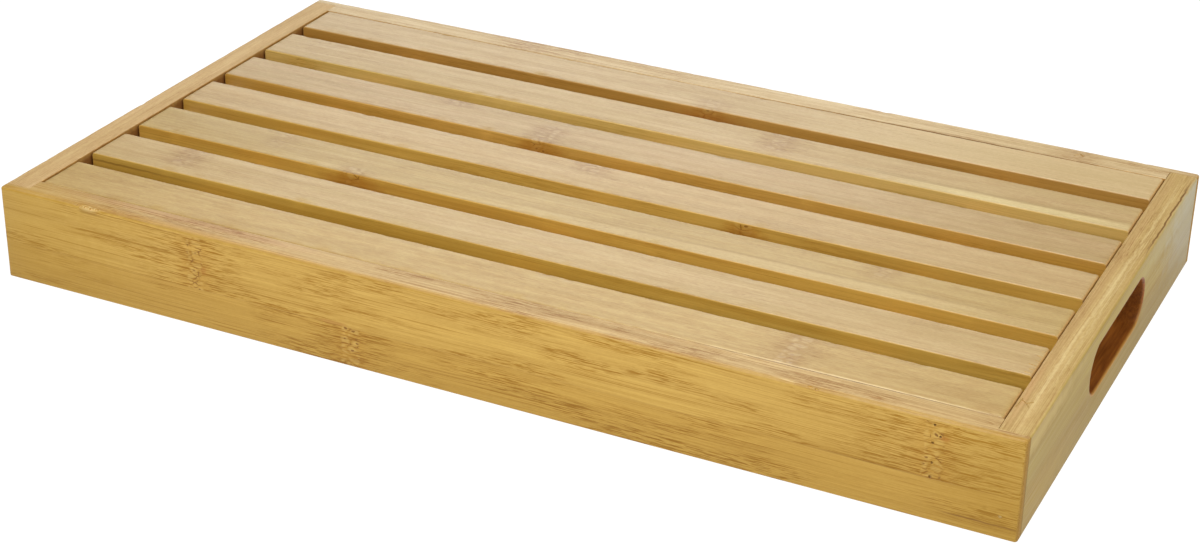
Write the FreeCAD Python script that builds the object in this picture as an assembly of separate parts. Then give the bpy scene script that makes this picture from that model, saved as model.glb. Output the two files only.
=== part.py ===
import FreeCAD, Part
import os

# A bamboo bread board: a shallow tray with a slatted grate that lifts out,
# so that crumbs fall between the slats and are tipped out of the tray.
# X runs along the board, Y from front to back, Z up.
# The origin is the centre of the underside. All sizes are in millimetres.

# Driving dimensions of the whole board
length = 425.0
width = 240.0
height = 40.0

# Tray walls
wall = 11.5                    # thickness of all four walls
lip = 4.0                      # what the front and back walls leave over the side walls' ends
corner_radius = 1.2            # upright outer corners
top_radius = 1.0               # outer top edges, sanded after gluing
foot_radius = 0.5              # outer bottom edges
inner_ease = 0.3               # inner top edges

# Bottom panel and the grooves that hold it
panel_thickness = 4.0
panel_height = 5.0             # underside of the panel above the table
groove_depth = 5.0
panel_play = 0.3               # room at each edge for the panel to swell

# Finger slots through the side walls
slot_length = 75.0
slot_height = 20.0
slot_centre_height = 22.3
slot_round_over = 1.0

# Slats of the grate
slat_count = 7
slat_width = 22.5
slat_thickness = 12.0
slat_side_radius = 0.6         # long edges
slat_end_radius = 1.5          # end edges
grate_play_along = 0.5         # at each end
grate_play_across = 0.3        # at the front and at the back

# Cross battens under the slats
batten_width = 16.0
batten_spacing = 140.0
batten_inset = 3.0             # a batten's end behind the outer slat's edge
batten_radius = 1.0

# Wood screws, driven up through the battens
screw_length = 20.0
screw_radius = 1.75
screw_head_radius = 3.5
screw_core_radius = 1.2
screw_plain_length = 8.0       # head and smooth shank
screw_pitch = 1.6
screw_tip_length = 3.0
screw_play = 0.05              # all round the shank
screw_bite = 8.0               # how far the tip stands in the slat
recess_length = 4.0            # cross recess in the head
recess_width = 0.9
recess_depth = 1.5
counterbore_play = 0.3

# Worked out from the dimensions above
half_length = length / 2
half_width = width / 2
inside_x = half_length - wall
inside_y = half_width - wall
panel_top = panel_height + panel_thickness
slat_half_length = inside_x - grate_play_along
grate_half_width = inside_y - grate_play_across
slat_gap = (2 * grate_half_width - slat_count * slat_width) / (slat_count - 1)
slat_pitch = slat_width + slat_gap
slat_underside = height - slat_thickness
screw_seat = slat_underside + screw_bite - screw_length
batten_half_length = grate_half_width - batten_inset
batten_places = {"left": -batten_spacing, "middle": 0.0, "right": batten_spacing}


def block(x0, x1, y0, y1, z0, z1):
    # A box between two corners, given in either order
    corner = FreeCAD.Vector(min(x0, x1), min(y0, y1), min(z0, z1))
    return Part.makeBox(abs(x1 - x0), abs(y1 - y0), abs(z1 - z0), corner)


def edges_where(shape, test):
    return [edge for edge in shape.Edges if all(test(vertex.Point) for vertex in edge.Vertexes)]


def near(value, target):
    return abs(value - target) < 1e-4


def edges_along(shape, axis):
    return [edge for edge in shape.Edges if near(abs(edge.tangentAt(edge.FirstParameter)[axis]), 1)]


def board_outline():
    # The outer form of the glued tray, with every outer edge eased
    form = block(-half_length, half_length, -half_width, half_width, 0, height)
    form = form.makeFillet(corner_radius, edges_along(form, 2))
    form = form.makeFillet(top_radius, edges_where(form, lambda point: near(point.z, height)))
    return form.makeFillet(foot_radius, edges_where(form, lambda point: near(point.z, 0)))


def long_wall(side, outline):
    # side is -1 for the front and +1 for the back
    y_inner = side * inside_y
    y_outer = side * half_width
    y_lip = side * (half_width - lip)
    y_groove = side * (inside_y + groove_depth)
    piece = block(-half_length, half_length, y_inner, y_outer, 0, height)
    for end in (-1, 1):
        rabbet = block(end * inside_x, end * half_length, y_inner, y_lip, 0, height)
        piece = piece.cut(rabbet)
    groove = block(-inside_x, inside_x, y_inner, y_groove, panel_height, panel_top)
    piece = piece.cut(groove).common(outline)
    inner_edges = edges_where(piece, lambda point: near(point.z, height) and near(point.y, y_inner))
    return piece.makeFillet(inner_ease, inner_edges)


def finger_slot(side):
    # A long hole with half-round ends, through the wall along X
    x_start = side * half_length - wall
    straight = slot_length / 2 - slot_height / 2
    radius = slot_height / 2
    middle = block(x_start, x_start + 2 * wall, -straight, straight,
                   slot_centre_height - radius, slot_centre_height + radius)
    ends = []
    for y in (-straight, straight):
        centre = FreeCAD.Vector(x_start, y, slot_centre_height)
        ends.append(Part.makeCylinder(radius, 2 * wall, centre, FreeCAD.Vector(1, 0, 0)))
    return middle.fuse(ends).removeSplitter()


def side_wall(side, outline):
    # side is -1 for the left and +1 for the right
    x_inner = side * inside_x
    x_outer = side * half_length
    x_groove = side * (inside_x + groove_depth)
    y_end = half_width - lip
    piece = block(x_inner, x_outer, -y_end, y_end, 0, height)
    groove = block(x_inner, x_groove, -y_end, y_end, panel_height, panel_top)
    piece = piece.cut(groove).cut(finger_slot(side)).common(outline)
    slot_low = slot_centre_height - slot_height / 2 - 1e-3
    slot_high = slot_centre_height + slot_height / 2 + 1e-3
    for face_x in (x_inner, x_outer):
        mouth = edges_where(piece, lambda point: near(point.x, face_x)
                            and slot_low < point.z < slot_high and abs(point.y) < slot_length / 2)
        piece = piece.makeFillet(slot_round_over, mouth)
    inner_edges = edges_where(piece, lambda point: near(point.z, height) and near(point.x, x_inner))
    return piece.makeFillet(inner_ease, inner_edges)


def bottom_panel():
    reach = groove_depth - panel_play
    return block(-inside_x - reach, inside_x + reach, -inside_y - reach, inside_y + reach,
                 panel_height, panel_top)


def slat_centre(index):
    return (index - (slat_count - 1) / 2) * slat_pitch


def screw_hole(x, y, head_radius):
    # The counterbore from below, the countersink and the hole for the shank
    play_radius = screw_radius + screw_play
    sink = head_radius - play_radius
    up = FreeCAD.Vector(0, 0, 1)
    bore = Part.makeCylinder(head_radius, screw_seat - panel_top, FreeCAD.Vector(x, y, panel_top), up)
    cone = Part.makeCone(head_radius, play_radius, sink, FreeCAD.Vector(x, y, screw_seat), up)
    shank = Part.makeCylinder(play_radius, screw_length, FreeCAD.Vector(x, y, screw_seat), up)
    return bore.fuse([cone, shank]).removeSplitter()


def slat(index):
    y = slat_centre(index)
    raw = block(-slat_half_length, slat_half_length, y - slat_width / 2, y + slat_width / 2,
                slat_underside, height)
    planed = raw.makeFillet(slat_side_radius, edges_along(raw, 0))
    piece = planed.common(raw.makeFillet(slat_end_radius, edges_along(raw, 1)))
    for x in batten_places.values():
        centre = FreeCAD.Vector(x, y, slat_underside)
        piece = piece.cut(Part.makeCylinder(screw_radius + screw_play, screw_bite, centre))
    return piece


def batten(x):
    piece = block(x - batten_width / 2, x + batten_width / 2, -batten_half_length, batten_half_length,
                  panel_top, slat_underside)
    piece = piece.makeFillet(batten_radius, edges_where(piece, lambda point: near(point.z, panel_top)))
    for index in range(slat_count):
        piece = piece.cut(screw_hole(x, slat_centre(index), screw_head_radius + counterbore_play))
    return piece


def wood_screw():
    # Head down at the origin, tip up; the thread is drawn as rings of its pitch
    sink = screw_head_radius - screw_radius
    outline = [(0, 0), (screw_head_radius, 0), (screw_radius, sink), (screw_radius, screw_plain_length)]
    z = screw_plain_length
    tip_start = screw_length - screw_tip_length
    while z + screw_pitch <= tip_start:
        outline.append((screw_core_radius, z + screw_pitch / 2))
        outline.append((screw_radius, z + screw_pitch))
        z += screw_pitch
    outline.append((screw_core_radius, tip_start))
    outline.append((0, screw_length))
    points = [FreeCAD.Vector(radius, 0, z) for radius, z in outline]
    profile = Part.Face(Part.makePolygon(points + points[:1]))
    screw = profile.revolve(FreeCAD.Vector(0, 0, 0), FreeCAD.Vector(0, 0, 1), 360)
    half_slot = recess_length / 2
    half_blade = recess_width / 2
    screw = screw.cut(block(-half_slot, half_slot, -half_blade, half_blade, 0, recess_depth))
    return screw.cut(block(-half_blade, half_blade, -half_slot, half_slot, 0, recess_depth))


def screw_row(x):
    screws = []
    for index in range(slat_count):
        screw = wood_screw()
        screw.translate(FreeCAD.Vector(x, slat_centre(index), screw_seat))
        screws.append(screw)
    return Part.makeCompound(screws)


def build():
    outline = board_outline()
    nodes = {
        "front_wall": long_wall(-1, outline),
        "back_wall": long_wall(1, outline),
        "left_wall": side_wall(-1, outline),
        "right_wall": side_wall(1, outline),
        "bottom_panel": bottom_panel(),
    }
    for index in range(slat_count):
        nodes["slat_%d" % (index + 1)] = slat(index)
    for name, x in batten_places.items():
        nodes[name + "_batten"] = batten(x)
        nodes[name + "_batten_screws"] = screw_row(x)
    return nodes


os.makedirs("parts", exist_ok=True)
print("slat gap", round(slat_gap, 3), "slat underside", slat_underside, "screw seat", screw_seat)
for name, shape in build().items():
    print(name, "valid", shape.isValid(), "solids", len(shape.Solids), "volume", round(shape.Volume, 1))
    shape.exportStep("parts/" + name + ".step")
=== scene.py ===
import math
import random

import bmesh
import bpy
from mathutils import Matrix, Vector, noise


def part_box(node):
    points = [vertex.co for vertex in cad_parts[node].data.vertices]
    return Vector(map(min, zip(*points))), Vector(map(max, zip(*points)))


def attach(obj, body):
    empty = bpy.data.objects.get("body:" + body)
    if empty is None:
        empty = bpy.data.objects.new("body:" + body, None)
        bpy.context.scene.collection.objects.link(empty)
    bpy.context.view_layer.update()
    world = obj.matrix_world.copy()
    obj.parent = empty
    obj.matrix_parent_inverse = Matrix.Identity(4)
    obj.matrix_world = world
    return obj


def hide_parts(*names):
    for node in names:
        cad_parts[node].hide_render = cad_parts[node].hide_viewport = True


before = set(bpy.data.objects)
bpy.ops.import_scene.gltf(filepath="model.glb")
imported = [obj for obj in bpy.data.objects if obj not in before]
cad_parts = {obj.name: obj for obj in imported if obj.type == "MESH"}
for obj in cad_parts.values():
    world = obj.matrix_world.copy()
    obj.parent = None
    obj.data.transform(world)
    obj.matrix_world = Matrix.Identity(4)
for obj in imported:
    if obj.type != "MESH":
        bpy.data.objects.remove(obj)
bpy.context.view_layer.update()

# A bamboo bread board: a shallow tray with a slatted grate that lifts out.
# X runs along the board, Y from front to back, Z up. Lengths in the code are in metres,
# and those in the dictionaries are in millimetres, except for the lights.
mm = 0.001
scene = bpy.context.scene
scene.view_settings.view_transform = "Standard"
print("frame loaded with", len(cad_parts), "nodes")


def linear(hexColour):
    # sRGB hex to the linear colour that the shaders use
    parts = [int(hexColour[i:i + 2], 16) / 255 for i in (0, 2, 4)]
    return [c / 12.92 if c <= 0.04045 else ((c + 0.055) / 1.055) ** 2.4 for c in parts] + [1.0]


def addNode(tree, kind, inputs=(), output=0, **settings):
    # Adds one shader node with its settings, and gives one output. Its sockets are set or
    # linked, in their own order from a tuple, or by name or number from a dictionary.
    node = tree.nodes.new("ShaderNode" + kind)
    for key, value in settings.items():
        setattr(node, key, value)
    for socket, source in (inputs.items() if isinstance(inputs, dict) else enumerate(inputs)):
        if isinstance(source, bpy.types.NodeSocket):
            tree.links.new(source, node.inputs[socket])
        else:
            node.inputs[socket].default_value = source
    return node.outputs[output] if node.outputs else node


mixA, mixB = 6, 7                                   # the two colour sockets of a Mix node
asColour = {"output": 2, "data_type": "RGBA"}       # what makes a Mix node blend colours


def newMaterial(name):
    material = bpy.data.materials.new(name)
    material.use_nodes = True
    material.node_tree.nodes.clear()
    return material, material.node_tree


def repeats(*sizes):
    # How often a pattern of these sizes, in mm, repeats in a metre
    return tuple(1 / (size * mm) for size in sizes)


# The layers of bamboo's grain: their size along and across the fibres, the noise's detail,
# and the stretch of its values that the layer uses. Single fibres are drawn a little coarse,
# so that they show.
grain = {
    "bands": (130, 4.5, 2, 0.36, 0.64),     # soft lengthwise bands of colour
    "mottle": (9, 2.2, 2, 0.38, 0.62),      # cloudy patches on the planed upper faces
    "fibres": (60, 0.42, 2, 0.34, 0.66),
    "threads": (140, 0.38, 1, 0.60, 0.72),  # long dark lines
    "dashes": (9, 0.36, 1, 0.50, 0.63),     # dark bundles cut along the face
    "flecks": (3.5, 0.4, 1, 0.56, 0.70),    # and cut short
    "nap": (1.6, 0.6, 1, 0.35, 0.65),       # the sanded surface
    "patches": (48, 10, 1, 0.48, 0.66),     # where the bundles gather
}
drift = {"along": 110, "across": 45, "by": 1.4}     # how the fibres wander
shaking = {"size": 4, "detail": 3.0}                # what makes lines and spots uneven
jointMarks = {                                      # where a joint of the culm crosses a strip
    "heights": (-1, 41), "wave": 4.0, "sideFade": 3,
    "halfWidth": 2.8, "fade": 1.4,                  # the ring of pads
    "haloFrom": 1, "halo": 9.0, "crowdFrom": 4,     # the tint round it and the bundles beside it
    "padLong": 5.0, "padWide": 2.6, "shake": 1.8, "random": 0.8,
    "rim": (0.012, 0.06), "dot": (0.13, 0.2), "pad": (0.06, 0.25),   # shares of a pad
    "broken": (0.48, 0.58),                         # the noise that leaves parts of a rim out
}
spotEdge = {"shake": 0.9, "full": 0.9, "gone": 1.5}             # shares of a spot's size
bambooSkin = {
    "inward": (-0.7, -0.98), "cutEnd": (0.3, 0.9),  # the turn at which a face starts to count as one
    "noRow": -100, "rowStart": 2.0, "rowStep": 7.3,     # where each row's pattern comes from
    "ior": 1.5, "fibreRough": (-0.05, 0.07), "endRough": 0.85,
    "veinRise": -1.0, "rimRise": -2.0, "padRise": 1.0, "bump": 0.35, "bumpHeight": 0.06,
}


def grainLayers(tree, bent, strip):
    # Noises drawn out along the fibres, one for each layer of the grain
    layers = {}
    for kind, (along, across, detail, low, high) in grain.items():
        drawn = addNode(tree, "VectorMath", (bent, repeats(along, across, across), strip),
                        operation="MULTIPLY_ADD")
        cloud = addNode(tree, "TexNoise", {"Vector": drawn, "Scale": 1.0, "Detail": detail})
        layers[kind] = addNode(tree, "MapRange", (cloud, low, high))
    return layers


def jointFields(tree, spot, wobble, joints):
    # Where the culm's joints cross the strip: the ring of pads, the halo round it, and the
    # stretch beside it where the dark bundles crowd
    ring = halo = crowd = 0.0
    wave = jointMarks["wave"]
    for joint in joints:
        low, high = joint.get("z", jointMarks["heights"])
        off = addNode(tree, "Math", (spot["X"], (joint["at"] + wave / 2) * mm), operation="SUBTRACT")
        off = addNode(tree, "Math", (wobble["X"], wave * mm, off), operation="MULTIPLY_ADD")
        away = addNode(tree, "Math", (off,), operation="ABSOLUTE")
        here = addNode(tree, "Math", (spot["Z"], (low + high) / 2 * mm, (high - low) / 2 * mm),
                       operation="COMPARE")
        here = addNode(tree, "Math", (here, joint.get("strength", 1.0)), operation="MULTIPLY")
        if "y" in joint:
            near, far = joint["y"]
            fade = jointMarks["sideFade"]
            aside = addNode(tree, "Math", (spot["Y"], (near + far) / 2 * mm), operation="SUBTRACT")
            aside = addNode(tree, "Math", (aside,), operation="ABSOLUTE")
            here = addNode(tree, "MapRange", (aside, (far - near - fade) / 2 * mm,
                                              (far - near + fade) / 2 * mm, here, 0.0))
        wide = joint.get("halfWidth", jointMarks["halfWidth"])
        reaches = ((wide, wide + jointMarks["fade"]), (jointMarks["haloFrom"], wide + jointMarks["halo"]),
                   (jointMarks["crowdFrom"], joint["spread"]))
        fields = []
        for (start, end), others in zip(reaches, (ring, halo, crowd)):
            field = addNode(tree, "MapRange", (away, start * mm, end * mm, here, 0.0),
                            interpolation_type="SMOOTHSTEP")
            fields.append(addNode(tree, "Math", (field, others), operation="MAXIMUM"))
        ring, halo, crowd = fields
    return ring, halo, crowd


def paintStreak(tree, colour, spot, wobble, turned, streak):
    # One long wavy line or band along the fibres, on the upper face or on the side: grain, and in some looks
    # a band of painted light or shade
    start, end = streak["run"]
    half, outside = streak["half"], streak["half"] + streak["soft"]
    level = spot["Y"] if streak["face"] == "top" else spot["Z"]
    onTop, onSide = (1.0, 0.0) if streak["face"] == "top" else (0.0, 1.0)
    off = addNode(tree, "Math", (level, (streak["at"] + streak["wave"] / 2) * mm), operation="SUBTRACT")
    off = addNode(tree, "Math", (wobble["Y"], streak["wave"] * mm, off), operation="MULTIPLY_ADD")
    off = addNode(tree, "Math", (off,), operation="ABSOLUTE")
    along = addNode(tree, "Math", (spot["X"], (start + end) / 2 * mm), operation="SUBTRACT")
    along = addNode(tree, "Math", (along,), operation="ABSOLUTE")
    share = addNode(tree, "MapRange", (turned, 0.0, 1.0, onTop * streak["share"], onSide * streak["share"]))
    share = addNode(tree, "MapRange", (off, half * mm, outside * mm, share, 0.0))
    share = addNode(tree, "MapRange", (along, ((end - start) / 2 - streak["taper"]) * mm,
                                       (end - start) / 2 * mm, share, 0.0))
    return addNode(tree, "Mix", {0: share, mixA: colour, mixB: linear(streak["tone"])}, **asColour)


def paintSpot(tree, colour, place, wobble, spotMark):
    # One soft spot at its own place: a stain, or a patch of painted light or shade
    at, size, tone, most = spotMark
    off = addNode(tree, "VectorMath", (place, [c * mm for c in at]), operation="SUBTRACT")
    off = addNode(tree, "VectorMath", (off, repeats(*size)), operation="MULTIPLY")
    off = addNode(tree, "VectorMath", (off,), 1, operation="LENGTH")
    off = addNode(tree, "Math", (wobble["Z"], spotEdge["shake"], off), operation="MULTIPLY_ADD")
    share = addNode(tree, "MapRange", (off, spotEdge["full"], spotEdge["gone"], most, 0.0))
    return addNode(tree, "Mix", {0: share, mixA: colour, mixB: linear(tone)}, **asColour)


def bamboo(name, look):
    # Strip bamboo, planed and oiled: straight fibres, dark bundles and a satin sheen
    material, tree = newMaterial(name)
    turn = (0, 0, math.pi / 2 if look["along"] == "Y" else 0)
    coords = addNode(tree, "TexCoord").node.outputs
    place = addNode(tree, "Mapping", {"Vector": coords["Object"], "Rotation": turn})
    facing = addNode(tree, "Mapping", {"Vector": coords["Normal"], "Rotation": turn})
    face = addNode(tree, "SeparateXYZ", (facing,)).node.outputs
    endOn = addNode(tree, "Math", (face["X"],), operation="ABSOLUTE")
    outward = look.get("outward")
    if outward:
        sideOn = addNode(tree, "Math", (face["Y"], outward), operation="MULTIPLY")
    else:
        sideOn = addNode(tree, "Math", (face["Y"],), operation="ABSOLUTE")
    turned = addNode(tree, "MapRange", (sideOn, *look["turn"]))

    # The fibres wander a little to the sides
    slow = addNode(tree, "VectorMath", (place, repeats(drift["along"], drift["across"], drift["across"]),
                                        (look["seed"],) * 3), operation="MULTIPLY_ADD")
    sway = addNode(tree, "TexNoise", {"Vector": slow, "Scale": 1.0, "Detail": 1.0}, "Color")
    sway = addNode(tree, "VectorMath", (sway, (0.5, 0.5, 0.5)), operation="SUBTRACT")
    reach = 2 * drift["by"] * mm
    bent = addNode(tree, "VectorMath", (sway, (0, reach, reach), place), operation="MULTIPLY_ADD")
    spot = addNode(tree, "SeparateXYZ", (bent,)).node.outputs
    jitter = addNode(tree, "TexNoise", {"Vector": place, "Scale": repeats(shaking["size"])[0],
                                        "Detail": shaking["detail"]}, "Color")
    wobble = addNode(tree, "SeparateXYZ", (jitter,)).node.outputs

    # Rows of strips glued on each other take their pattern from different places
    row = addNode(tree, "Math", (spot["Z"], look.get("row", bambooSkin["noRow"]) * mm),
                  operation="GREATER_THAN")
    strip = addNode(tree, "Math", (row, bambooSkin["rowStart"]), operation="ADD")
    strip = addNode(tree, "Math", (strip, bambooSkin["rowStep"], look["seed"]), operation="MULTIPLY_ADD")
    layers = grainLayers(tree, bent, strip)
    ring, halo, crowd = jointFields(tree, spot, wobble, look["joints"])

    # The upper face and the side of a strip differ, and so do its rows
    topTone, sideTone = (addNode(tree, "Mix", {0: layers["bands"], mixA: linear(first), mixB: linear(second)},
                                 **asColour) for first, second in (look["top"], look["side"]))
    colour = addNode(tree, "Mix", {0: turned, mixA: topTone, mixB: sideTone}, **asColour)
    if outward:
        inward = addNode(tree, "MapRange", (sideOn, *bambooSkin["inward"]))
        colour = addNode(tree, "Mix", {0: inward, mixA: colour, mixB: linear(look["inner"])}, **asColour)
    below = addNode(tree, "Math", (1.0, row), operation="SUBTRACT")
    colour = addNode(tree, "Mix", {0: below, mixA: colour, mixB: linear(look.get("rowTint", "FFFFFF"))},
                     blend_type="MULTIPLY", **asColour)
    cloudy = addNode(tree, "MapRange", (turned, 0.0, 1.0, look["mottle"], 0.0))
    cloudy = addNode(tree, "Math", (layers["mottle"], cloudy), operation="MULTIPLY")
    colour = addNode(tree, "Mix", {0: cloudy, mixA: colour, mixB: linear(look["mottleTint"])},
                     blend_type="MULTIPLY", **asColour)
    for streak in look.get("streaks", ()):
        colour = paintStreak(tree, colour, spot, wobble, turned, streak)

    # Dark fibres: each layer shows by its own share on the upper face and on the side
    gathered = addNode(tree, "Math", (layers["patches"], look["scatter"]), operation="MULTIPLY")
    gathered = addNode(tree, "Math", (gathered, crowd), operation="MAXIMUM")
    veins = 0.0
    for kind, (onTop, onSide) in look["shares"].items():
        weight = addNode(tree, "MapRange", (turned, 0.0, 1.0, onTop, onSide))
        if kind in ("dashes", "flecks"):
            weight = addNode(tree, "Math", (weight, gathered), operation="MULTIPLY")
        veins = addNode(tree, "Math", (layers[kind], weight, veins), operation="MULTIPLY_ADD")
    veins = addNode(tree, "Math", (veins, 1.0), operation="MINIMUM")
    tone = addNode(tree, "Mix", {0: turned, mixA: linear(look["vein"][0]), mixB: linear(look["vein"][1])},
                   **asColour)
    colour = addNode(tree, "Mix", {0: veins, mixA: colour, mixB: tone}, blend_type="MULTIPLY", **asColour)

    # The joint's pads: pale cushions with broken brown rims, stacked across the fibres; the pads' paleness is
    # partly their own tone, partly painted highlight on their relief
    shaken = addNode(tree, "VectorMath", (jitter, (jointMarks["shake"] * mm,) * 3, place),
                     operation="MULTIPLY_ADD")
    padSize = (jointMarks["padLong"], jointMarks["padWide"], jointMarks["padWide"])
    shaken = addNode(tree, "VectorMath", (shaken, repeats(*padSize)), operation="MULTIPLY")
    cells = {"Vector": shaken, "Scale": 1.0, "Randomness": jointMarks["random"]}
    edge = addNode(tree, "TexVoronoi", cells, feature="DISTANCE_TO_EDGE")
    centre = addNode(tree, "TexVoronoi", cells)
    rim = addNode(tree, "MapRange", (edge, *jointMarks["rim"], 1.0, 0.0))
    broken = addNode(tree, "MapRange", (wobble["Z"], *jointMarks["broken"]))
    rim = addNode(tree, "Math", (rim, broken), operation="MULTIPLY")
    dot = addNode(tree, "MapRange", (centre, *jointMarks["dot"], 1.0, 0.0))
    rim = addNode(tree, "Math", (rim, dot), operation="MAXIMUM")
    rim = addNode(tree, "Math", (rim, ring), operation="MULTIPLY")
    pad = addNode(tree, "MapRange", (edge, *jointMarks["pad"]))
    pad = addNode(tree, "Math", (pad, ring), operation="MULTIPLY")
    marks = ((halo, "haloTint", "MULTIPLY"), (pad, "padTone", "MIX"), (rim, "rimTone", "MIX"))
    for where, key, blend in marks:
        (topTint, topShare), (sideTint, sideShare) = look[key]
        weight = addNode(tree, "MapRange", (turned, 0.0, 1.0, topShare, sideShare))
        weight = addNode(tree, "Math", (weight, where), operation="MULTIPLY")
        tone = addNode(tree, "Mix", {0: turned, mixA: linear(topTint), mixB: linear(sideTint)}, **asColour)
        colour = addNode(tree, "Mix", {0: weight, mixA: colour, mixB: tone}, blend_type=blend, **asColour)
    for spotMark in look.get("stainsAndPaintedLight", ()):
        colour = paintSpot(tree, colour, coords["Object"], wobble, spotMark)

    # The cut end shows the fibres as dots, and is duller
    cutEnd = addNode(tree, "MapRange", (endOn, *bambooSkin["cutEnd"]), interpolation_type="SMOOTHSTEP")
    dots = addNode(tree, "Mix", {0: layers["fibres"], mixA: linear(look["end"][0]),
                                 mixB: linear(look["end"][1])}, **asColour)
    colour = addNode(tree, "Mix", {0: cutEnd, mixA: colour, mixB: dots}, **asColour)
    smoothest, roughest = (look["rough"] + change for change in bambooSkin["fibreRough"])
    rough = addNode(tree, "MapRange", (layers["fibres"], 0.0, 1.0, smoothest, roughest))
    rough = addNode(tree, "MapRange", (cutEnd, 0.0, 1.0, rough, bambooSkin["endRough"]))
    height = layers["fibres"]
    for part, rise in ((veins, "veinRise"), (rim, "rimRise"), (pad, "padRise")):
        height = addNode(tree, "Math", (part, bambooSkin[rise], height), operation="MULTIPLY_ADD")
    bump = addNode(tree, "Bump", {"Height": height, "Strength": bambooSkin["bump"],
                                  "Distance": bambooSkin["bumpHeight"] * mm})
    shader = addNode(tree, "BsdfPrincipled", {"Base Color": colour, "Roughness": rough,
                                              "IOR": bambooSkin["ior"], "Specular IOR Level": look["gloss"],
                                              "Normal": bump})
    addNode(tree, "OutputMaterial", {"Surface": shader})
    return material


closeBy = 0.02 * mm          # points nearer than this are at the same place
slack = 0.1 * mm             # and this much is allowed where edges are picked by a range
hair = 0.01 * mm             # for limits that a point may lie right on
cutPast = 5 * mm             # how far a cutter passes a piece
crispAbove = 38              # degrees between faces, above which their edge stays crisp


def beam(low, high):
    # A square-edged length between two corners
    bm = bmesh.new()
    bmesh.ops.create_cube(bm, size=1.0)
    bmesh.ops.scale(bm, vec=high - low, verts=bm.verts)
    bmesh.ops.translate(bm, vec=(low + high) / 2, verts=bm.verts)
    return bm


def isAt(a, b):
    return abs(a - b) < closeBy


def edgesWhere(bm, test):
    return [edge for edge in bm.edges if all(test(vert.co) for vert in edge.verts)]


def roundOff(bm, edges, shape):
    # Rounds edges by a radius in mm, in that many segments
    radius, segments = shape
    bmesh.ops.bevel(bm, geom=edges, offset=radius * mm, offset_type="OFFSET", segments=segments, profile=0.5,
                    affect="EDGES", material=-1, clamp_overlap=False)


def cutAcross(bm, axis, places):
    # Cuts loops across the piece, so that wear can follow them
    for place in places:
        point = [0, 0, 0]
        point[axis] = place
        normal = [0, 0, 0]
        normal[axis] = 1
        bmesh.ops.bisect_plane(bm, geom=bm.verts[:] + bm.edges[:] + bm.faces[:], plane_co=point,
                               plane_no=normal, dist=hair / 2)


def evenly(start, end, count):
    # The places that divide a length, without its ends
    return [start + (end - start) * i / count for i in range(1, count)]


def tempObject(name, bm):
    mesh = bpy.data.meshes.new(name)
    bm.to_mesh(mesh)
    bm.free()
    obj = bpy.data.objects.new(name, mesh)
    scene.collection.objects.link(obj)
    return obj


def carve(bm, cutters, crossing=False):
    # Takes the closed shapes of the cutters out of a piece, and minds where they cross
    body = tempObject("uncut", bm)
    tools = [tempObject("cutter", cutter) for cutter in cutters]
    for tool in tools:
        cut = body.modifiers.new("cut", "BOOLEAN")
        cut.operation = "DIFFERENCE"
        cut.solver = "EXACT"
        cut.use_self = crossing
        cut.object = tool
    carved = bmesh.new()
    carved.from_object(body, bpy.context.evaluated_depsgraph_get())
    for obj in tools + [body]:
        mesh = obj.data
        bpy.data.objects.remove(obj)
        bpy.data.meshes.remove(mesh)
    return carved


def hollow(at, size):
    # An egg-shaped cutter for a pit, its centre and half sizes in mm
    bm = bmesh.new()
    bmesh.ops.create_icosphere(bm, subdivisions=2, radius=1.0)
    bmesh.ops.scale(bm, vec=Vector(size) * mm, verts=bm.verts)
    bmesh.ops.translate(bm, vec=Vector(at) * mm, verts=bm.verts)
    return bm


def scratch(start, end, width, depth):
    # A wedge-shaped cutter for a scratch in an upper face, in mm
    start, end = Vector(start) * mm, Vector(end) * mm
    along = end - start
    bm = bmesh.new()
    made = bmesh.ops.create_cone(bm, cap_ends=True, segments=4, radius1=1.0, radius2=1.0, depth=along.length)
    bmesh.ops.rotate(bm, matrix=Matrix.Rotation(math.pi / 2, 3, "Y"), verts=made["verts"])
    bmesh.ops.scale(bm, vec=(1.0, width / 2 * mm, depth * mm), verts=made["verts"])
    bmesh.ops.rotate(bm, matrix=Matrix.Rotation(math.atan2(along.y, along.x), 3, "Z"), verts=made["verts"])
    bmesh.ops.translate(bm, vec=(start + end) / 2, verts=made["verts"])
    return bm


def markUp(bm, look):
    # Carves a piece's own pits and scratches into its finished surface
    shapes = [hollow(*pit) for pit in look.get("pits", ())]
    shapes += [scratch(*mark) for mark in look.get("scratches", ())]
    if not shapes:
        return bm
    together = bmesh.new()
    for shape in shapes:
        mesh = bpy.data.meshes.new("mark")
        shape.to_mesh(mesh)
        shape.free()
        together.from_mesh(mesh)
        bpy.data.meshes.remove(mesh)
    return carve(bm, [together], crossing=look.get("crossing", False))


def faceOutwards(bm):
    bmesh.ops.recalc_face_normals(bm, faces=bm.faces)
    if bm.calc_volume(signed=True) < 0:
        bmesh.ops.reverse_faces(bm, faces=bm.faces)
    bm.normal_update()


wearShape = {
    "wave": (45, 9), "rub": (6, 3),                 # how long and wide the uneven places are
    "nickLong": (0.8, 2.2), "nickDeep": (0.1, 0.3),
    "shift": (3.7, 1.3, 0), "rubLevel": 5.0,        # each piece wears by another part of the noise
    "still": 1.5,                                   # the foot isn't worn below this height
}


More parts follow.
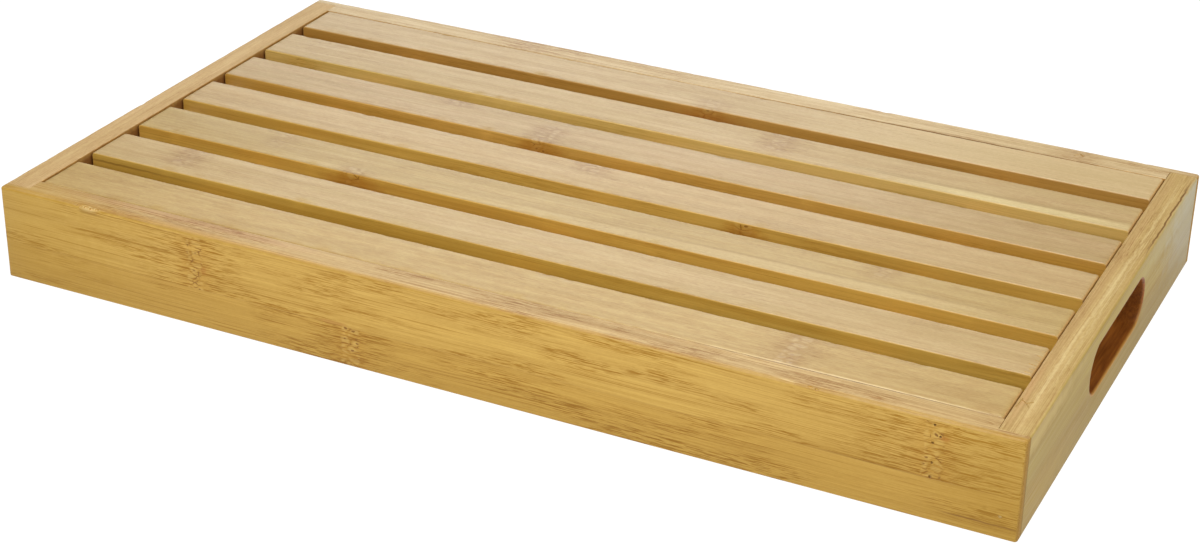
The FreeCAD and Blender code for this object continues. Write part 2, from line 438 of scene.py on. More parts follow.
def wear(bm, low, high, look):
    # Sands the surface a little uneven, always inwards, and rubs its long upper edges more
    chance = random.Random(look["seed"])
    reach = look["edgeReach"] * mm
    alongAxis = 0 if look["along"] == "X" else 1
    acrossAxis = 1 - alongAxis
    nicks = [(chance.uniform(low[alongAxis], high[alongAxis]), chance.choice((-1, 1)),
              chance.uniform(*wearShape["nickLong"]) * mm, chance.uniform(*wearShape["nickDeep"]) * mm)
             for _ in range(look["nicks"])]
    shift = Vector([look["seed"] * step for step in wearShape["shift"]])
    waveLong, waveWide = (size * mm for size in wearShape["wave"])
    rubLong, rubWide = (size * mm for size in wearShape["rub"])
    faceOutwards(bm)
    moves = []
    for vert in bm.verts:
        if vert.co.z < low.z + wearShape["still"] * mm:
            continue
        along, across = vert.co[alongAxis], vert.co[acrossAxis]
        wave = noise.noise(Vector((along / waveLong, across / waveWide, vert.co.z / waveWide)) + shift)
        amount = (0.5 + 0.5 * wave) * look["unevenness"] * mm
        toSide = min(across - low[acrossAxis], high[acrossAxis] - across)
        if high.z - vert.co.z < reach and toSide < reach:
            rub = noise.noise(Vector((along / rubLong, across / rubWide, wearShape["rubLevel"])) + shift)
            amount += max(0.0, rub) * look["edgeRub"] * mm
            side = -1 if across - low[acrossAxis] < reach else 1
            for place, nickSide, length, depth in nicks:
                if side == nickSide:
                    amount += depth * math.exp(-((along - place) / length) ** 2)
        moves.append((vert, -vert.normal * amount))
    for vert, move in moves:
        vert.co += move


def finishPiece(name, bm, materials, body, cadNode):
    # Makes the object, shades it smooth with crisp arrises, and puts it in its node's place
    faceOutwards(bm)
    for face in bm.faces:
        face.smooth = True
    for edge in bm.edges:
        edge.smooth = edge.calc_face_angle(0) < math.radians(crispAbove)
    mesh = bpy.data.meshes.new(name)
    bm.to_mesh(mesh)
    bm.free()
    for material in materials:
        mesh.materials.append(material)
    obj = bpy.data.objects.new(name, mesh)
    scene.collection.objects.link(obj)
    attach(obj, body)
    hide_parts(cadNode)


trayShape = {
    "corner": (1.2, 4), "top": (1.0, 6), "foot": (0.5, 4), "inner": (0.3, 3),   # radius and segments
    "seam": (0.16, 2),          # eased edge on each side of a glued joint
    "panelPlay": 0.3,           # the panel has room to swell in its grooves
    "flat": 0.4,                # what lies between a rounded edge and the first cut for wear
    "cutsLong": 260, "cutsEnd": 140, "cutsWide": 4, "cutsHigh": 7, "cutsFrom": 9.5,
}
slotShape = {"length": 75, "height": 20, "centre": 22.3, "roundOver": (1.0, 5), "segments": 64,
             "deep": 25, "cutAbove": 1.8}   # its cutter's depth, and the first cut for wear above it

# Where the tray's parts meet, read from the frame
frontLow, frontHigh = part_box("front_wall")
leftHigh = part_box("left_wall")[1]
panelLow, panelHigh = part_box("bottom_panel")
insideX = -leftHigh.x                      # inner face of an end wall
insideY = -frontHigh.y                     # inner face of a long wall
lipY = leftHigh.y                          # where an end wall meets the lip of a long wall
grooveX = panelHigh.x + trayShape["panelPlay"] * mm
grooveY = panelHigh.y + trayShape["panelPlay"] * mm
halfLength, halfWidth, boardTop = frontHigh.x, -frontLow.y, frontHigh.z
topHold, innerHold = ((trayShape[edge][0] + trayShape["flat"]) * mm for edge in ("top", "inner"))
cornerReach = trayShape["corner"][0] * mm + slack
slotCentre = slotShape["centre"] * mm
slotRadius = slotShape["height"] / 2 * mm


def longWall(side, look):
    # The front (-1) or back (+1) wall, rabbeted at both ends over the end walls
    low = Vector((-halfLength, insideY if side > 0 else -halfWidth, 0))
    high = Vector((halfLength, halfWidth if side > 0 else -insideY, boardTop))
    inner, lip, groove = side * (insideY - cutPast), side * lipY, side * grooveY
    cutters = [beam(Vector((-insideX, min(inner, groove), panelLow.z)),
                    Vector((insideX, max(inner, groove), panelHigh.z)))]
    for end in (-1, 1):
        xs = sorted((end * insideX, end * (halfLength + cutPast)))
        cutters.append(beam(Vector((xs[0], min(inner, lip), -cutPast)),
                            Vector((xs[1], max(inner, lip), boardTop + cutPast))))
    bm = carve(beam(low, high), cutters)
    outer = side * halfWidth
    upright = [e for e in edgesWhere(bm, lambda p: isAt(abs(p.x), halfLength) and isAt(p.y, outer))
               if isAt(e.verts[0].co.x, e.verts[1].co.x)]
    roundOff(bm, upright, trayShape["corner"])

    def onRim(point):
        return abs(point.x) > halfLength - cornerReach or isAt(point.y, outer)

    roundOff(bm, edgesWhere(bm, lambda p: isAt(p.z, boardTop) and onRim(p)), trayShape["top"])
    roundOff(bm, edgesWhere(bm, lambda p: isAt(p.z, 0) and onRim(p)), trayShape["foot"])
    arris = edgesWhere(bm, lambda p: isAt(p.z, boardTop) and isAt(p.y, side * insideY))
    roundOff(bm, arris, trayShape["inner"])
    seam = [e for e in edgesWhere(bm, lambda p: isAt(p.y, lip) and abs(p.x) > insideX - slack)
            if not all(isAt(abs(v.co.x), insideX) for v in e.verts)]
    roundOff(bm, seam, trayShape["seam"])
    cutAcross(bm, 0, [-insideX, insideX])
    ys = sorted((side * (halfWidth - topHold), side * (insideY + innerHold)))
    cutAcross(bm, 1, ys + evenly(ys[0], ys[1], trayShape["cutsWide"]))
    upper = boardTop - topHold
    cutAcross(bm, 2, evenly(trayShape["cutsFrom"] * mm, upper, trayShape["cutsHigh"]) + [upper])
    cutAcross(bm, 0, evenly(-insideX, insideX, trayShape["cutsLong"]))
    wear(bm, low, high, look)
    return markUp(bm, look)


def fingerSlot(side):
    # The closed shape of the slot through an end wall: a long hole with half-round ends
    bm = bmesh.new()
    straight = (slotShape["length"] - slotShape["height"]) / 2 * mm
    turn = Matrix.Rotation(math.pi / 2, 4, "Y")
    made = bmesh.ops.create_circle(bm, cap_ends=True, segments=slotShape["segments"], radius=slotRadius,
                                   matrix=turn)
    for vert in made["verts"]:
        vert.co.y += math.copysign(straight, vert.co.y)
    bmesh.ops.translate(bm, vec=(side * (insideX - cutPast), 0, slotCentre), verts=bm.verts)
    made = bmesh.ops.extrude_face_region(bm, geom=bm.faces[:])
    moved = [item for item in made["geom"] if isinstance(item, bmesh.types.BMVert)]
    bmesh.ops.translate(bm, vec=(side * slotShape["deep"] * mm, 0, 0), verts=moved)
    bmesh.ops.recalc_face_normals(bm, faces=bm.faces)
    return bm


def endWall(side, look):
    # The left (-1) or right (+1) wall, with its finger slot
    low = Vector((insideX if side > 0 else -halfLength, -lipY, 0))
    high = Vector((halfLength if side > 0 else -insideX, lipY, boardTop))
    xs = sorted((side * (insideX - cutPast), side * grooveX))
    groove = beam(Vector((xs[0], -lipY - cutPast, panelLow.z)), Vector((xs[1], lipY + cutPast, panelHigh.z)))
    bm = carve(beam(low, high), [groove, fingerSlot(side)])
    outer, inner = side * halfLength, side * insideX
    slotEnd = slotShape["length"] / 2 * mm

    def onMouth(point):
        return abs(point.z - slotCentre) < slotRadius + hair and abs(point.y) < slotEnd + hair

    for face in (inner, outer):
        roundOff(bm, edgesWhere(bm, lambda p: isAt(p.x, face) and onMouth(p)), slotShape["roundOver"])
    for height, face, edge in ((boardTop, outer, "top"), (0, outer, "foot"), (boardTop, inner, "inner")):
        roundOff(bm, edgesWhere(bm, lambda p: isAt(p.z, height) and isAt(p.x, face)), trayShape[edge])
    for end in (-1, 1):
        seam = [e for e in edgesWhere(bm, lambda p: isAt(p.y, end * lipY))
                if not all(isAt(v.co.x, inner) for v in e.verts)
                and not all(panelLow.z - slack < v.co.z < panelHigh.z + slack for v in e.verts)]
        roundOff(bm, seam, trayShape["seam"])
    cutAcross(bm, 2, [slotCentre + slotRadius + slotShape["cutAbove"] * mm, boardTop - topHold])
    xs = [low.x + topHold, high.x - topHold]
    cutAcross(bm, 0, xs + evenly(xs[0], xs[1], trayShape["cutsWide"]))
    cutAcross(bm, 1, evenly(-lipY, lipY, trayShape["cutsEnd"]))
    wear(bm, low, high, look)
    return markUp(bm, look)


def isRouted(middle):
    # Whether a face of an end wall, known by its middle, lies inside the slot
    spine = max(0.0, abs(middle.y) - (slotShape["length"] / 2 * mm - slotRadius))
    slotReach = slotRadius + slotShape["roundOver"][0] * mm
    inSlot = math.hypot(spine, middle.z - slotCentre) < slotReach
    return inSlot and insideX + hair < abs(middle.x) < halfLength - 4 * hair


# In a look, top, side and end each hold the two tones that the grain goes between. Its other
# pairs hold what belongs to the upper face and what belongs to the side. A spot, a stain or a
# patch of painted light or shade, has a place, a size, a tone and a share, a pit a place and a
# size, and a scratch two ends, a width and a depth.
woodTones = {
    "vein": ("BEA078", "C4AC4C"), "end": ("AC8238", "94702E"), "mottleTint": "EFE4D8",
    "haloTint": (("E4D6CC", 0.55), ("F2E2B4", 0.5)),
    "padTone": (("C9B48C", 0.3), ("D8B866", 0.32)),
    "rimTone": (("96765A", 0.45), ("7C5016", 0.9)),
}
wallLook = {**woodTones, "inner": "C99F58", "rough": 0.4, "gloss": 0.25, "turn": (0.35, 0.9), "mottle": 0.3,
            "scatter": 0.8, "unevenness": 0.05, "edgeRub": 0.12, "edgeReach": 1.7}
longWallLook = {
    **wallLook, "along": "X", "side": ("CFA956", "C7A150"), "nicks": 5, "rowTint": "F9F6EE",
    "shares": {"fibres": (0.4, 0.32), "threads": (0.5, 0.6), "dashes": (0.7, 0.9), "flecks": (0.6, 0.45),
               "nap": (0.15, 0.08)},
}
endWallLook = {     # here a streak runs along -Y, and its place on the upper face is an X
    **wallLook, "along": "Y", "side": ("B29A4E", "A68A3F"), "rough": 0.55, "nicks": 3, "row": 19,
    # The lower row of an end wall is a little browner: partly its own strip, partly painted shade
    "rowTint": "FBF8F2",
}
# Painted shade: the sides darken towards the foot, where less light falls
footPaintedShade = {"face": "side", "at": 0, "wave": 2, "run": (-300, 300), "taper": 1}
longWallPaintedShade = {**footPaintedShade, "half": 4, "soft": 28, "tone": "A8801E", "share": 0.35}
endWallPaintedShade = {**footPaintedShade, "half": 2, "soft": 30, "tone": "8E7030", "share": 0.5}


def glueLines(x):
    # The glue beside the lips shows as thin dark lines at both ends of an end wall
    return [((x, y, 20), (1, 0.35, 40), "6A5426", 0.7) for y in (-115.8, 115.8)]


walls = {
    "front": {
        **longWallLook, "outward": -1, "seed": 4.0, "row": 17, "scatter": 1.0, "top": ("C4A974", "B99F6C"),
        "joints": [{"at": -120, "z": (17, 39.2), "spread": 36}, {"at": 180.5, "z": (17, 39.2), "spread": 50},
                   {"at": -50.5, "z": (-1, 17), "spread": 28, "halfWidth": 3.2}],
        "streaks": [
            longWallPaintedShade,
            {"face": "top", "at": -118.7, "half": 0.4, "soft": 1.0, "wave": 1.0, "run": (-216, 216),
             "taper": 4, "tone": "C09A48", "share": 0.65},
            {"face": "top", "at": -117.4, "half": 0.8, "soft": 1.4, "wave": 1.0, "run": (-216, -50),
             "taper": 60, "tone": "BC9650", "share": 0.5},
            {"face": "top", "at": -111.0, "half": 1.0, "soft": 1.6, "wave": 1.6, "run": (-195, -60),
             "taper": 30, "tone": "B58C68", "share": 0.4},
            {"face": "side", "at": 5.0, "half": 0.12, "soft": 0.35, "wave": 0.5, "run": (183, 218),
             "taper": 8, "tone": "80541C", "share": 0.85},
            {"face": "side", "at": 17.0, "half": 0.1, "soft": 0.3, "wave": 0.0, "run": (110, 218),
             "taper": 40, "tone": "8A5E22", "share": 0.45},     # the glue line between the rows
            {"face": "side", "at": 17.0, "half": 0.1, "soft": 0.3, "wave": 0.0, "run": (-218, 130),
             "taper": 40, "tone": "A07836", "share": 0.25},
        ],
        "stainsAndPaintedLight": [
            ((0, -119.7, 39.7), (400, 0.8, 0.8), "9C7830", 0.5),
            ((205.8, -120, 8.7), (0.9, 1.0, 0.6), "DCC890", 0.5),
            ((184.0, -120, 33.2), (2.4, 1.0, 1.4), "A4641C", 0.6),
            ((-116.0, -120, 25.5), (1.6, 1.0, 2.2), "A86E28", 0.5),
            ((-58.0, -120, 17.2), (7.0, 1.0, 0.9), "A0662C", 0.45),
            ((-169.0, -120, 37.9), (6.5, 1.0, 0.7), "8A6024", 0.6),
            ((-169.0, -119.4, 39.6), (5.5, 1.4, 1.5), "D8BC82", 0.7),
            # Painted shade: the front darkens towards both ends, where the key light falls off
            ((-216, -120, 20), (75, 34, 60), "A8801E", 0.3),
            ((216, -120, 20), (38, 3, 60), "A8801E", 0.25),
            ((127, -118.4, 40), (7, 0.4, 0.4), "DCC696", 0.6),
        ],
        "pits": [
            ((180.3, -120, 37.8), (0.5, 0.9, 0.5)), ((182.6, -120, 33.7), (0.5, 0.9, 0.5)),
            ((180.0, -120, 30.7), (0.55, 0.9, 0.5)), ((180.3, -120, 23.0), (0.5, 0.9, 0.5)),
            ((180.1, -120, 17.3), (0.6, 0.9, 0.55)), ((205.8, -120, 8.7), (0.8, 0.35, 0.5)),
            ((-173.3, -119.5, 39.8), (1.1, 0.7, 0.7)), ((-170.6, -119.3, 39.9), (1.2, 0.8, 0.7)),
            ((-167.9, -119.5, 39.8), (1.1, 0.8, 0.8)), ((-165.4, -119.4, 39.9), (1.0, 0.6, 0.6)),
            ((134.6, -119.0, 40), (1.0, 0.6, 0.5)), ((137.2, -119.5, 39.8), (0.8, 0.6, 0.6)),
        ],
    },
    "back": {
        **longWallLook, "outward": 1, "seed": 9.0, "row": 21, "top": ("D0BC92", "C5AF82"),
        "joints": [{"at": 163, "z": (21, 41), "spread": 20, "strength": 0.5},
                   {"at": -95, "z": (21, 41), "spread": 30}, {"at": 40, "z": (-1, 21), "spread": 30}],
        "streaks": [longWallPaintedShade],
        "stainsAndPaintedLight": [
            # Painted shade: the gap between the grate and the back wall's inner arris is painted dark on the
            # right half; on the left half painted light lifts that gap's shade
            ((110, 108.4, 38.6), (95, 0.6, 3), "5E3E18", 0.7),
            ((-60, 108.4, 38.8), (110, 0.6, 3), "CDB284", 0.7),
            ((164.4, 114.6, 40), (1.2, 1.6, 1), "8A5E2C", 0.4),
        ],
        "crossing": True,
        "scratches": [
            ((161.0, 113.4, 40), (163.0, 116.4, 40), 0.7, 0.4),
            ((163.2, 116.0, 40), (165.0, 113.8, 40), 0.6, 0.4),
        ],
    },
    "left": {
        **endWallLook, "outward": -1, "seed": 14.0, "top": ("C5A878", "BA9D6B"),
        "shares": {"fibres": (0.2, 0.12), "threads": (0.2, 0.1), "dashes": (0.2, 0.1), "flecks": (0.3, 0.0),
                   "nap": (0.15, 0.05)},
        "joints": [{"at": 70, "z": (19, 39), "spread": 24, "strength": 0.6}],
        "streaks": [
            endWallPaintedShade,
            {"face": "top", "at": -207.0, "half": 0.3, "soft": 0.9, "wave": 2.2, "run": (-80, 113),
             "taper": 30, "tone": "D0BC88", "share": 0.15},
        ],
        "stainsAndPaintedLight": [
            # Painted shade: a dark band along the top of the inner face, where the pockets beside the slats'
            # ends lie in shade
            ((-201, 0, 34.6), (0.5, 300, 6.6), "6E3E14", 0.78),
            *glueLines(-212.5),
        ],
    },
    "right": {
        **endWallLook, "outward": 1, "seed": 21.0, "top": ("BFA56D", "B49A60"),
        "shares": {"fibres": (0.25, 0.12), "threads": (0.4, 0.1), "dashes": (0.4, 0.1), "flecks": (0.4, 0.0),
                   "nap": (0.15, 0.05)},
        "joints": [],
        "streaks": [
            endWallPaintedShade,
            {"face": "top", "at": 206.6, "half": 0.2, "soft": 0.9, "wave": 3.0, "run": (-40, 116),
             "taper": 30, "tone": "D2BE8A", "share": 0.45},
            {"face": "top", "at": 207.4, "half": 0.2, "soft": 0.7, "wave": 2.4, "run": (-116, 30),
             "taper": 30, "tone": "D2BE8A", "share": 0.45},
            {"face": "top", "at": 208.9, "half": 0.1, "soft": 0.6, "wave": 1.8, "run": (-70, 90),
             "taper": 30, "tone": "D2BE8A", "share": 0.4},
            {"face": "top", "at": 203.0, "half": 1.0, "soft": 1.4, "wave": 1.5, "run": (-116, 116),
             "taper": 10, "tone": "B08C60", "share": 0.3},
            {"face": "top", "at": 202.4, "half": 0.6, "soft": 1.0, "wave": 1.5, "run": (55, 117),
             "taper": 25, "tone": "C2885C", "share": 0.2},
            {"face": "top", "at": 211.0, "half": 0.15, "soft": 0.4, "wave": 1.6, "run": (-118, -30),
             "taper": 22, "tone": "6E4A1A", "share": 0.95},
        ],
        "stainsAndPaintedLight": [
            # Painted reflection and shade on the outer face: paler and greyer towards the upper back, darker
            # along the foot
            ((212.5, -112, 36), (1, 62, 6), "CDB070", 0.35),
            ((212.5, 80, 35), (1, 58, 9), "B4AC90", 0.28),
            ((212.5, 118, 24), (1, 54, 28), "AEADA0", 0.42),
            ((212.5, 60, 8), (1, 60, 10), "90783C", 0.45),
            ((212.5, -105, 8), (1, 55, 12), "BA9846", 0.3),
            *glueLines(212.5),
        ],
        "crossing": True,
        "scratches": [
            ((202.4, -93.6, 40), (204.4, -95.4, 40), 0.5, 0.35),
            ((204.6, -95.6, 40), (206.0, -98.0, 40), 0.5, 0.35),
            ((204.6, -95.2, 40), (206.4, -93.4, 40), 0.5, 0.35),
            ((201.9, -99.5, 40), (202.2, -92.5, 40), 0.35, 0.25),
        ],
    },
}
slotLook = {
    "pale": "A2601E", "deep": "7A4210", "rough": 0.5, "gloss": 0.3, "ior": 1.5,
    "chatter": (0.9, 14, 0.9), "spread": (0.3, 0.7), "bump": 0.4, "bumpHeight": 0.1,
    # rim: a painted golden highlight on the slot's lower rounded rim
    "rim": "B8862C", "rimHighlightShare": 0.8, "rimHighlightHeights": (12, 20), "rimHighlightDepths": (1.0, 0.2),
}


def routedBamboo(look):
    # Bamboo browned by the router's heat and darkened as painted shade of the slot: duller, with the
    # cutter's fine chatter, and a painted golden highlight where the lower rim's rounding catches light
    material, tree = newMaterial("routedBamboo")
    place = addNode(tree, "TexCoord", output="Object")
    squeezed = addNode(tree, "VectorMath", (place, repeats(*look["chatter"])), operation="MULTIPLY")
    chatter = addNode(tree, "TexNoise", {"Vector": squeezed, "Scale": 1.0, "Detail": 3.0})
    spread = addNode(tree, "MapRange", (chatter, *look["spread"]))
    colour = addNode(tree, "Mix", {0: spread, mixA: linear(look["pale"]), mixB: linear(look["deep"])},
                     **asColour)
    spot = addNode(tree, "SeparateXYZ", (place,)).node.outputs
    out = addNode(tree, "Math", (spot["X"],), operation="ABSOLUTE")
    # Painted highlight: the lower rim turns golden where its rounding catches the light
    low, high = (height * mm for height in look["rimHighlightHeights"])
    start, end = (halfLength - depth * mm for depth in look["rimHighlightDepths"])
    rim = addNode(tree, "MapRange", (spot["Z"], low, high, look["rimHighlightShare"], 0.0))
    rim = addNode(tree, "MapRange", (out, start, end, 0.0, rim))
    colour = addNode(tree, "Mix", {0: rim, mixA: colour, mixB: linear(look["rim"])}, **asColour)
    bump = addNode(tree, "Bump", {"Height": chatter, "Strength": look["bump"],
                                  "Distance": look["bumpHeight"] * mm})
    shader = addNode(tree, "BsdfPrincipled", {"Base Color": colour, "Roughness": look["rough"],
                                              "IOR": look["ior"], "Specular IOR Level": look["gloss"],
                                              "Normal": bump})
    addNode(tree, "OutputMaterial", {"Surface": shader})
    return material


routed = routedBamboo(slotLook)
for name, side in (("front", -1), ("back", 1)):
    finishPiece(name + "Wall", longWall(side, walls[name]), [bamboo("planedBamboo_" + name, walls[name])],
                "tray", name + "_wall")
for name, side in (("left", -1), ("right", 1)):
    piece = endWall(side, walls[name])
    for face in piece.faces:
        face.material_index = isRouted(face.calc_center_median())
    finishPiece(name + "Wall", piece, [bamboo("planedBamboo_" + name, walls[name]), routed],
                "tray", name + "_wall")
print("tray walls made")

slatShape = {"side": (0.6, 5), "end": (1.5, 6),     # radius and segments of the rounded edges
             "flat": 0.3, "cutsWide": 6, "cutIn": 0.6, "station": 1.5}
slatLook = {
    **woodTones, "end": ("C29A5A", "A67E40"), "along": "X", "top": ("BAA172", "B19866"), "rough": 0.4,
    "gloss": 0.5, "turn": (0.5, 0.95), "mottle": 0.4, "scatter": 0.6, "unevenness": 0.06, "edgeRub": 0.14,
    "edgeReach": 0.9, "nicks": 7,
    "shares": {"fibres": (0.14, 0.2), "threads": (0.12, 0.3), "dashes": (0.25, 0.4), "flecks": (0.5, 0.2),
               "nap": (0.15, 0.06)},
}
slatSeeds = {"first": 30.0, "step": 4.3}
slats = [           # from the front one to the back one
    # The front slat: its front arris keeps the upper face's paler tone, with a painted highlight line along
    # it and the painted shadow of its gap to the front wall
    {"side": ("C8A04C", "BE9440"), "top": ("BAA068", "B1965E"), "turn": (0.85, 0.99), "mottle": 0.6,
     "stainsAndPaintedLight": [((140, -107.8, 39.95), (75, 0.5, 0.3), "E8D2A2", 0.4),
                ((140, -108.2, 39.6), (75, 0.3, 0.25), "54380F", 0.85)],
     "joints": [{"at": 120, "spread": 22}]},
    {"side": ("CEA74C", "C0963C"), "joints": [{"at": -163, "spread": 16, "y": (-70, -50)}],
     "stainsAndPaintedLight": [((198, -62, 40), (2.6, 1.8, 2), "9E8052", 0.45)],
     "streaks": [{"face": "side", "at": 36.8, "half": 0.2, "soft": 0.5, "wave": 0.8, "run": (-250, -130),
                  "taper": 60, "tone": "74480E", "share": 0.55}],
     "scratches": [((197.2, -74.2, 40), (199.9, -74.4, 40), 0.5, 0.4),
                   ((198.0, -71.6, 40), (200.1, -71.2, 40), 0.4, 0.4),
                   ((196.8, -68.0, 40), (199.4, -68.3, 40), 0.5, 0.4),
                   ((198.3, -64.9, 40), (200.1, -64.7, 40), 0.4, 0.4),
                   ((197.5, -60.9, 40), (200.0, -61.3, 40), 0.5, 0.4),
                   ((198.4, -57.5, 40), (200.1, -57.3, 40), 0.4, 0.3)]},
    {"side": ("D6AA4D", "C7973E"), "top": ("B59C66", "AC935C"),
     "stainsAndPaintedLight": [((-95, -43.6, 34), (17, 1.5, 6), "A4641A", 0.5)],
     "joints": [{"at": -138, "spread": 16, "y": (-36, -20), "strength": 0.6},
                {"at": -95, "spread": 14, "y": (-48, -38)},
                {"at": 127, "spread": 14, "y": (-32, -20), "strength": 0.7}],
     "streaks": [{"face": "top", "at": -40.4, "half": 2.8, "soft": 0.7, "wave": 0.8, "run": (-60, 215),
                  "taper": 80, "tone": "C4AD7C", "share": 0.5},
                 {"face": "top", "at": -36.4, "half": 0.3, "soft": 0.6, "wave": 1.0, "run": (0, 190),
                  "taper": 40, "tone": "9C8456", "share": 0.35}]},
    {"side": ("D4AC52", "C59A42"), "top": ("BBA172", "B29868"),
     "stainsAndPaintedLight": [((64, -11.3, 34), (11, 1.5, 6), "A4641A", 0.45)],
     "joints": [{"at": -11, "z": (39, 41), "spread": 18, "y": (2, 12)},
                {"at": 64, "z": (20, 39), "spread": 14}]},
    {"side": ("D2A34E", "C1933D"), "top": ("B69C70", "AD9465"),
     "stainsAndPaintedLight": [((-43, 21.1, 34), (15, 1.5, 6), "A4641A", 0.5)],
     "joints": [{"at": -43, "spread": 14, "y": (18, 38)},
                {"at": -92, "z": (39, 41), "spread": 10, "y": (38, 46)}]},
    {"side": ("E2BF70", "D2AF5C"),
     "joints": [{"at": -180, "z": (20, 39), "spread": 14}, {"at": 47, "spread": 26, "y": (58, 78)}],
     "streaks": [{"face": "top", "at": 55.6, "half": 1.6, "soft": 1.4, "wave": 1.0, "run": (90, 220),
                  "taper": 40, "tone": "D0BF8A", "share": 0.75},
                 {"face": "top", "at": 59.4, "half": 0.5, "soft": 1.0, "wave": 1.2, "run": (50, 215),
                  "taper": 40, "tone": "9C8856", "share": 0.35}]},
    {"side": ("C19347", "B08137"), "top": ("BBA274", "B19867"),
     "stainsAndPaintedLight": [((6, 85.7, 34), (20, 1.5, 6), "98581A", 0.45)],
     "joints": [{"at": 6, "spread": 12, "y": (84, 97), "strength": 0.7}],
     # Painted light and shade along the back slat's top: paler towards the right, darker towards the left
     "streaks": [{"face": "top", "at": 97, "half": 12, "soft": 1, "wave": 0, "run": (20, 340),
                  "taper": 70, "tone": "D2BC8E", "share": 0.4},
                 {"face": "top", "at": 97, "half": 12, "soft": 1, "wave": 0, "run": (-330, -140),
                  "taper": 90, "tone": "9E8352", "share": 0.35}]},
]


def slat(node, look):
    # One slat of the grate, with its ends and long edges rounded
    low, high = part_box(node)
    bm = beam(low, high)
    ends = edgesWhere(bm, lambda p: isAt(p.x, high.x)) + edgesWhere(bm, lambda p: isAt(p.x, low.x))
    roundOff(bm, [e for e in ends if isAt(e.verts[0].co.z, e.verts[1].co.z)], slatShape["end"])
    arris = edgesWhere(bm, lambda p: isAt(p.y, low.y)) + edgesWhere(bm, lambda p: isAt(p.y, high.y))
    roundOff(bm, arris, slatShape["side"])
    hold = (slatShape["side"][0] + slatShape["flat"]) * mm
    ys = [low.y + hold, high.y - hold]
    cutAcross(bm, 1, ys + evenly(ys[0], ys[1], slatShape["cutsWide"]))
    cutIn = slatShape["cutIn"] * mm
    cutAcross(bm, 2, [high.z - hold - cutIn, low.z + hold + cutIn, (low.z + high.z) / 2])
    length = high.x - low.x
    lengthwise = [e for e in bm.edges if abs(e.verts[0].co.x - e.verts[1].co.x) > length / 2]
    bmesh.ops.subdivide_edges(bm, edges=lengthwise, cuts=int(length / (slatShape["station"] * mm)),
                              use_grid_fill=True)
    wear(bm, low, high, look)
    return markUp(bm, look)


for index, own in enumerate(slats):
    look = {**slatLook, "seed": slatSeeds["first"] + slatSeeds["step"] * index, **own}
    node = "slat_%d" % (index + 1)
    finishPiece("slat%d" % (index + 1), slat(node, look), [bamboo("planedBamboo_" + node, look)],
                "grate", node)
print("slats made")


def dress(nodes, material):
    # Gives the CAD's own pieces a finished material
    for node in nodes:
        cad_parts[node].data.materials.clear()
        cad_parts[node].data.materials.append(material)


# Battens and panel are sawn or pressed and not oiled, so they are duller and show more fibre
plainLook = {
    **woodTones, "rough": 0.55, "gloss": 0.4, "turn": (0.3, 0.8), "mottle": 0.4, "scatter": 1.0,
    "shares": {"fibres": (0.3, 0.3), "threads": (0.3, 0.3), "dashes": (0.5, 0.5), "flecks": (0.3, 0.3),
               "nap": (0.2, 0.2)},
}
battens = {**plainLook, "along": "Y", "seed": 71.0, "top": ("CAA66C", "BE985C"), "side": ("C6A064", "BA9054"),
           "joints": [{"at": 30, "spread": 20}]}
panel = {**plainLook, "along": "X", "seed": 83.0, "top": ("CBA262", "BC9050"), "side": ("C49A56", "B48444"),
         "joints": [{"at": -60, "spread": 24}, {"at": 140, "spread": 24}]}
screws = {"pale": "CFCFCB", "deep": "A9A8A2", "marks": 0.4, "spread": (0.3, 0.7), "rough": (0.25, 0.42)}


def zincPlate(look):
    # Zinc-plated steel: bright grey with fine turning marks that blur the highlight
    material, tree = newMaterial("zincPlatedSteel")
    place = addNode(tree, "TexCoord", output="Object")
    specks = addNode(tree, "TexNoise", {"Vector": place, "Scale": repeats(look["marks"])[0], "Detail": 3.0})
    rough = addNode(tree, "MapRange", (specks, *look["spread"], *look["rough"]))
    colour = addNode(tree, "Mix", {0: specks, mixA: linear(look["pale"]), mixB: linear(look["deep"])},
                     **asColour)
    shader = addNode(tree, "BsdfPrincipled", {"Base Color": colour, "Metallic": 1.0, "Roughness": rough})
    addNode(tree, "OutputMaterial", {"Surface": shader})
    return material


battenNodes = ("left_batten", "middle_batten", "right_batten")
dress(battenNodes, bamboo("sawnBamboo_battens", battens))
dress(("bottom_panel",), bamboo("pressedBamboo_panel", panel))
dress([node + "_screws" for node in battenNodes], zincPlate(screws))
print("battens, panel and screws dressed")

stageLook = {
    "floor": "606060", "floorSize": 12000, "floorGlow": 0.95, "fleck": 25, "floorRough": (0.85, 0.95),
    "floorDrop": 0.05,                              # a hair below the tray's feet
    "room": "FFFFFF", "roomStrength": 0.13,
}


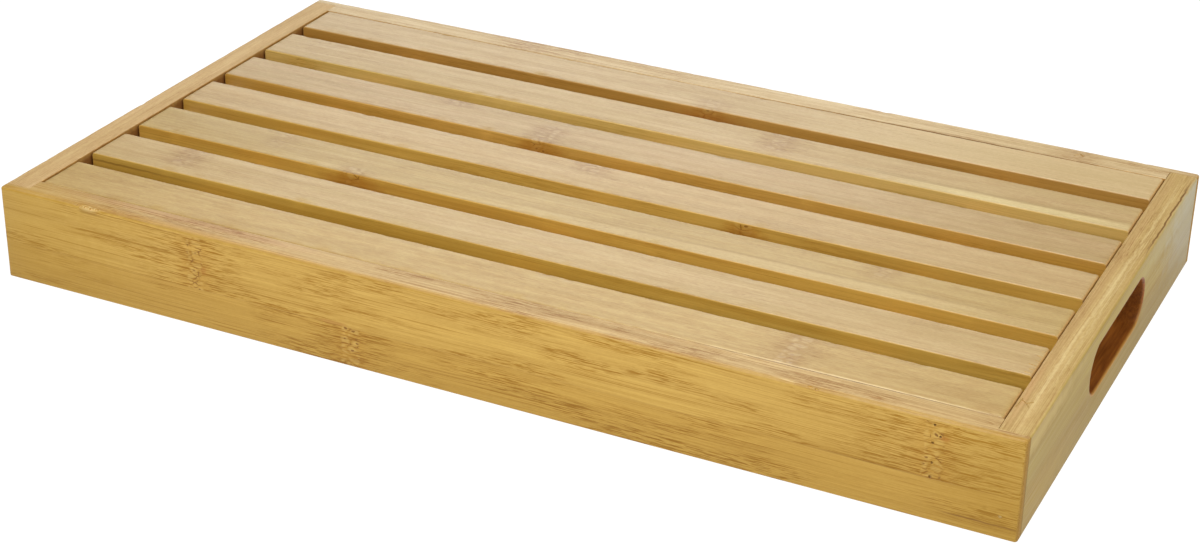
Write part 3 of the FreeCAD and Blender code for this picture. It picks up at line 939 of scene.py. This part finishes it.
def makeStage(look):
    # A white paper sweep that glows enough to leave no shadow's edge, in a dim white room
    bm = bmesh.new()
    bmesh.ops.create_grid(bm, x_segments=1, y_segments=1, size=look["floorSize"] * mm / 2)
    bmesh.ops.translate(bm, vec=(0, 0, -look["floorDrop"] * mm), verts=bm.verts)
    floor = tempObject("floor", bm)
    paper, tree = newMaterial("paperSweep")
    place = addNode(tree, "TexCoord", output="Object")
    fleck = addNode(tree, "TexNoise", {"Vector": place, "Scale": repeats(look["fleck"])[0]})
    rough = addNode(tree, "MapRange", (fleck, 0.0, 1.0, *look["floorRough"]))
    shader = addNode(tree, "BsdfPrincipled", {"Base Color": linear(look["floor"]), "Roughness": rough,
                                              "Specular IOR Level": 0.0, "Emission Color": (1, 1, 1, 1),
                                              "Emission Strength": look["floorGlow"]})
    addNode(tree, "OutputMaterial", {"Surface": shader})
    floor.data.materials.append(paper)
    world = bpy.data.worlds.new("studio")
    scene.world = world
    world.use_nodes = True
    background = world.node_tree.nodes["Background"].inputs
    background["Color"].default_value = linear(look["room"])
    background["Strength"].default_value = look["roomStrength"]


# Places and sizes in metres, powers in watts, spreads in degrees
lights = {
    "keySoftbox": {"at": (0.02, -0.74, 0.54), "aim": (0.02, -0.1, 0.03), "size": (0.45, 0.45), "power": 1.04,
                   "spread": 80},
    "overheadSoftbox": {"at": (-0.1, -0.1, 1.3), "aim": (0, 0, 0), "size": (1.0, 1.0), "power": 14.3},
    "backSoftbox": {"at": (-0.63, 1.24, 0.56), "aim": (0, 0, 0), "size": (0.8, 0.5), "power": 3.3},
    "rightFill": {"at": (1.2, 0.1, 0.8), "aim": (0, 0, 0), "size": (0.8, 0.8), "power": 8.4},
}


def makeLight(name, look):
    light = bpy.data.lights.new(name, "AREA")
    light.shape = "RECTANGLE"
    light.size, light.size_y = look["size"]
    light.energy = look["power"]
    light.spread = math.radians(look.get("spread", 180))
    obj = bpy.data.objects.new(name, light)
    obj.location = look["at"]
    aim = Vector(look["aim"]) - Vector(look["at"])
    obj.rotation_euler = aim.to_track_quat("-Z", "Y").to_euler()
    scene.collection.objects.link(obj)


cameraLook = {"at": (377.7, -796.7, 450.3), "yaw": 25.56, "down": 27.17, "roll": 1.05,   # mm and degrees
              "focalPixels": 2394.8, "imageWidth": 1200, "sensor": 36.0, "nearest": 10}


def makeCamera(look):
    data = bpy.data.cameras.new("camera")
    data.sensor_width = look["sensor"]
    data.lens = look["focalPixels"] / look["imageWidth"] * look["sensor"]
    data.clip_start = look["nearest"] * mm
    obj = bpy.data.objects.new("camera", data)
    scene.collection.objects.link(obj)
    turns = ((look["yaw"], "Z"), (90 - look["down"], "X"), (look["roll"], "Z"))
    yaw, tilt, roll = (Matrix.Rotation(math.radians(angle), 4, axis) for angle, axis in turns)
    obj.matrix_world = Matrix.Translation(Vector(look["at"]) * mm) @ (yaw @ tilt @ roll)
    scene.camera = obj


makeStage(stageLook)
for name, look in lights.items():
    makeLight(name, look)
makeCamera(cameraLook)
print("stage, lights and camera set")
